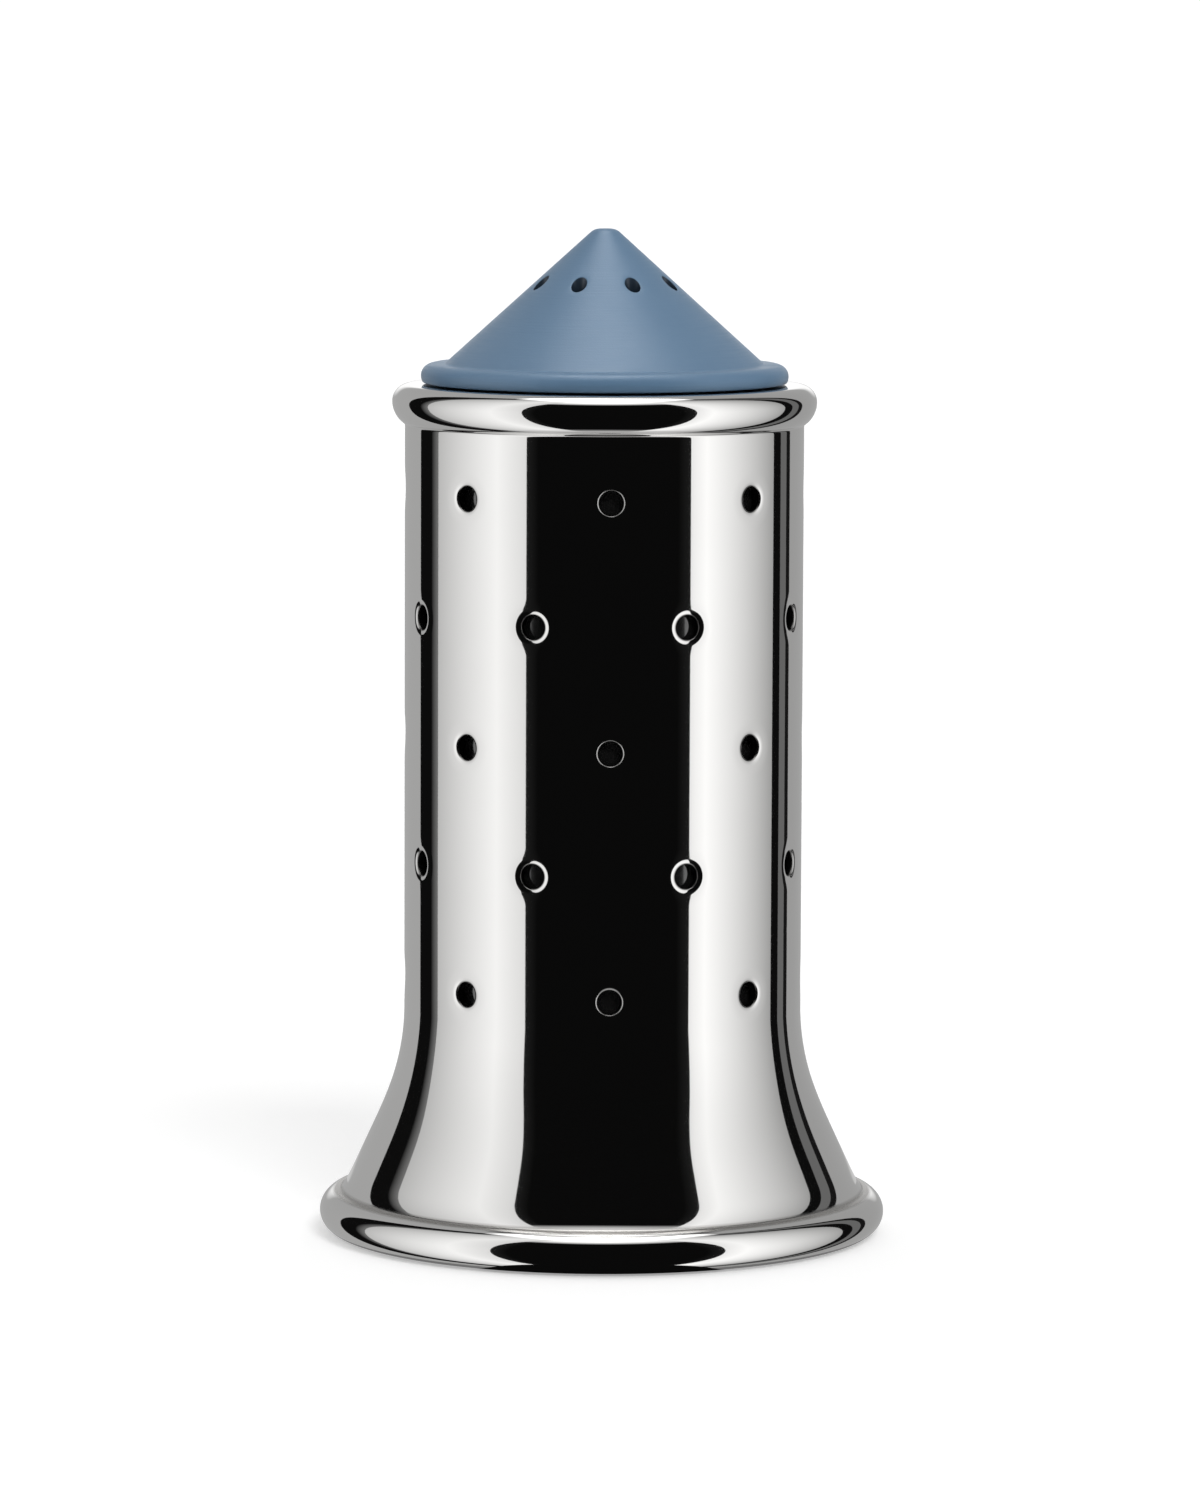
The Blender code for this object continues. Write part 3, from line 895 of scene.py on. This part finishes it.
def studio_card(name, bearings, strengths, high_share=1.0, crown=0.0):
    """A tall bent card between two bearings in degrees, right of the lens counted positive.

    Its strength fades from one bearing to the other, sinks to a share of itself higher up, and may
    swell to a crown at the zenith.
    """
    start, end = (math.radians(bearing) for bearing in bearings)
    bm = bmesh.new()
    points = []
    for step in range(CARD_STEPS + 1):
        rise = math.pi * (step / CARD_STEPS - 0.5)
        points.append(bm.verts.new((0, -CARD_DISTANCE * math.cos(rise), CARD_DISTANCE * math.sin(rise))))
    edges = [bm.edges.new(pair) for pair in zip(points, points[1:])]
    bmesh.ops.rotate(bm, verts=points, cent=(0, 0, 0), matrix=Matrix.Rotation(start, 3, "Z"))
    turns = max(2, round(math.degrees(end - start) / CARD_FACET))
    bmesh.ops.spin(
        bm, geom=points + edges, cent=(0, 0, 0), axis=(0, 0, 1), angle=end - start, steps=turns
    )
    material, tree, _ = new_finish(name)
    aside, away, height = shaded_place(tree)
    bearing = reckoned(tree, "ARCTAN2", aside, reckoned(tree, "MULTIPLY", away, -1))
    crown_limits = [CARD_DISTANCE * math.sin(rise) for rise in (CROWN_START, CROWN_FULL)]
    kept_share = spread(tree, height, 0, crown_limits[0], 1, high_share)
    strength = reckoned(tree, "MULTIPLY", spread(tree, bearing, start, end, *strengths), kept_share)
    # The crown comes lower towards its sides, so that its mirrored corners are round.
    corner = reckoned(tree, "MULTIPLY", reckoned(tree, "POWER", aside, 4), CROWN_CORNER)
    swell = spread(tree, reckoned(tree, "ADD", height, corner), *crown_limits, 0, crown)
    surface(tree, glow(tree, reckoned(tree, "ADD", strength, swell)))
    reflected_only(mesh_from(bm, name), name, material)


studio_card("flag_edge_left", bearings=(-45.2, -38), strengths=(0.016, 0.004), crown=CROWN_STRENGTH)
studio_card("front_flag", bearings=(-38, 43), strengths=(0.004, 0.004), crown=CROWN_STRENGTH)
studio_card("flag_edge_right", bearings=(43, 50.8), strengths=(0.004, 0.016), crown=CROWN_STRENGTH)
studio_card("softbox_left_edge", bearings=(-64, -45.2), strengths=(1.25, 0.98), high_share=BOX_HIGH_SHARE)
studio_card("softbox_left", bearings=(-111, -64), strengths=(0.66, 1.25), high_share=BOX_HIGH_SHARE)
studio_card("softbox_right_edge", bearings=(50.8, 61), strengths=(1.14, 1.37), high_share=BOX_HIGH_SHARE)
studio_card("softbox_right", bearings=(61, 114.5), strengths=(1.37, 0.46), high_share=BOX_HIGH_SHARE)
studio_card("strip_left_grey", bearings=(-118, -111), strengths=(0.01, 0.22))
studio_card("strip_left", bearings=(-132, -118), strengths=(0.005, 0.005))
studio_card("strip_right", bearings=(114.5, 122.5), strengths=(0.005, 0.005))
studio_card("strip_right_grey", bearings=(122.5, 130), strengths=(0.17, 0.17))
studio_card("strip_right_edge", bearings=(130, 135), strengths=(0.01, 0.01))
studio_card("back_left", bearings=(-180, -132), strengths=(0.42, 0.48))
studio_card("back_right", bearings=(135, 180), strengths=(0.42, 0.42))


def oval(name, half_sizes):
    """A flat oval mesh that faces up."""
    bm = bmesh.new()
    bmesh.ops.create_circle(bm, cap_ends=True, segments=OVAL_SEGMENTS, radius=1)
    bmesh.ops.scale(bm, verts=bm.verts, vec=(*half_sizes, 1))
    return mesh_from(bm, name)


def oval_card(name, centre, tilt, half_sizes, core, strength):
    """An oval card that glows on one side only, from a full core to nothing at its rim."""
    material, tree, _ = new_finish(name)
    outwards = distance_out(tree, (1 / half_sizes[0], 1 / half_sizes[1], 0))
    from_front = reckoned(tree, "SUBTRACT", 1, from_behind(tree))
    lit = reckoned(tree, "MULTIPLY", spread(tree, outwards, 1, core), from_front)
    surface(tree, mixed(tree, lit, clear(tree), glow(tree, strength)))
    card = reflected_only(oval(name, half_sizes), name, material)
    card.location = centre
    card.rotation_euler = (tilt, 0, 0)


def contact_shade(name, centre, half_sizes, strength):
    """An oval of painted shade just under the foot, for the dark that a mirror sees where it meets the
    table.
    """
    material, tree, _ = new_finish(name)
    surface(tree, glow(tree, strength))
    card = reflected_only(oval(name, half_sizes), name, material)
    card.location = centre


oval_card(
    "overhead_box", centre=(0, 1.3, 2.7), tilt=math.pi, half_sizes=(1.10, 2.30), core=0.5, strength=4.2
)
oval_card(
    "back_window", centre=(0, 2.6, 0.38), tilt=math.pi / 2, half_sizes=(0.95, 0.40), core=0.4, strength=1.1
)
oval_card(
    "bounce_card", centre=(0, 0, 0.0046), tilt=0, half_sizes=(0.043, 0.043), core=0.6, strength=0.62
)
contact_shade("contact_shade", centre=(0, 0, -0.00020), half_sizes=(0.0250, 0.0250), strength=0.20)
contact_shade("front_shade", centre=(0, -0.0200, -0.00015), half_sizes=(0.0112, 0.0066), strength=0.004)


# The table is a plain matt white sheet that takes the shaker's soft shadow. It is clear from below, so
# the underside of the foot can be looked at.

FLOOR_SIZE = 40.0
FLOOR_WHITE = (0.8, 0.8, 0.8)
FLOOR_LIFT = 0.35
FLOOR_CLEARANCE = 0.0001


def background_rays(tree):
    """1 for the rays that look at the background, straight or by way of metal or glass, and else 0."""
    ray = tree.nodes.new("ShaderNodeLightPath")
    seen = reckoned(tree, "ADD", ray.outputs["Is Camera Ray"], ray.outputs["Is Glossy Ray"])
    seen = reckoned(tree, "ADD", seen, ray.outputs["Is Transmission Ray"])
    seen.node.use_clamp = True
    return seen


floor_mesh = bmesh.new()
bmesh.ops.create_grid(floor_mesh, x_segments=4, y_segments=4, size=FLOOR_SIZE)
bmesh.ops.translate(floor_mesh, verts=floor_mesh.verts, vec=(0, 0, -FLOOR_CLEARANCE))
floor_white, floor_tree, floor_shader = new_finish("white_table")
feed(floor_tree, floor_shader.inputs["Base Color"], FLOOR_WHITE)
floor_shader.inputs["Roughness"].default_value = 1
floor_shader.inputs["Specular IOR Level"].default_value = 0
feed(floor_tree, floor_shader.inputs["Emission Color"], (1, 1, 1))
floor_lift = reckoned(floor_tree, "MULTIPLY", background_rays(floor_tree), FLOOR_LIFT)
feed(floor_tree, floor_shader.inputs["Emission Strength"], floor_lift)
floor_sides = mixed(floor_tree, from_behind(floor_tree), floor_shader.outputs["BSDF"], clear(floor_tree))
surface(floor_tree, floor_sides)
floor_data = mesh_from(floor_mesh, "white_table")
floor_data.materials.append(floor_white)
floor = put_in_scene("white_table", floor_data)
floor.visible_glossy = False


# The light is a white room, darker before the shaker than round and behind it, that fills the shadows,
# and a wide lamp high before the shaker and to its right that casts the soft shadow.

FILL_FRONT = 0.10
FILL_ROUND = 0.87
FILL_HEADINGS = (-0.9, 0.1)
BACKGROUND_WHITE = 1.0
KEY_LEVEL = 0.25
KEY_BEARING = math.radians(22)
KEY_RISE = math.radians(43)
KEY_SOFTNESS = math.radians(24)

world = bpy.data.worlds.new("white_room")
bpy.context.scene.world = world
world.use_nodes = True
room = world.node_tree
heading = room.nodes.new("ShaderNodeSeparateXYZ")
feed(room, heading.inputs["Vector"], room.nodes.new("ShaderNodeTexCoord").outputs["Generated"])
fill = room.nodes["Background"]
feed(room, fill.inputs["Color"], (1, 1, 1))
fill_strength = spread(room, heading.outputs["Y"], *FILL_HEADINGS, FILL_FRONT, FILL_ROUND)
feed(room, fill.inputs["Strength"], fill_strength)
backdrop = room.nodes.new("ShaderNodeBackground")
feed(room, backdrop.inputs["Color"], (1, 1, 1))
backdrop.inputs["Strength"].default_value = BACKGROUND_WHITE
room_light = mixed(room, background_rays(room), fill.outputs["Background"], backdrop.outputs["Background"])
feed(room, room.nodes["World Output"].inputs["Surface"], room_light)

key = bpy.data.lights.new("key_lamp", "SUN")
# The level is what a white table sends back of this lamp's light.
key.energy = KEY_LEVEL * math.pi / math.sin(KEY_RISE)
key.angle = KEY_SOFTNESS
key_lamp = put_in_scene("key_lamp", key)
key_lamp.rotation_euler = (math.pi / 2 - KEY_RISE, 0, KEY_BEARING)
key_lamp.visible_glossy = False


# The lens is a long one that stands straight before the shaker, a little higher than its cap. It is
# tipped down, and turned a hair off level.

CAMERA_DISTANCE = 0.683
CAMERA_HEIGHT = 0.1185
CAMERA_PITCH = math.radians(6.2)
CAMERA_ROLL = math.radians(0.22)
CAMERA_YAW = math.radians(0.0255)
FOCAL_LENGTH = 180
SENSOR_WIDTH = 36
NEAREST_SEEN = 0.05

lens = bpy.data.cameras.new("camera")
lens.lens = FOCAL_LENGTH
lens.sensor_width = SENSOR_WIDTH
lens.clip_start = NEAREST_SEEN
camera = put_in_scene("camera", lens)
camera.location = (0, -CAMERA_DISTANCE, CAMERA_HEIGHT)
camera.rotation_euler = (
    Matrix.Rotation(CAMERA_YAW, 3, "Z")
    @ Matrix.Rotation(math.pi / 2 - CAMERA_PITCH, 3, "X")
    @ Matrix.Rotation(CAMERA_ROLL, 3, "Z")
).to_euler()
bpy.context.scene.camera = camera
bpy.context.scene.view_settings.view_transform = "Standard"
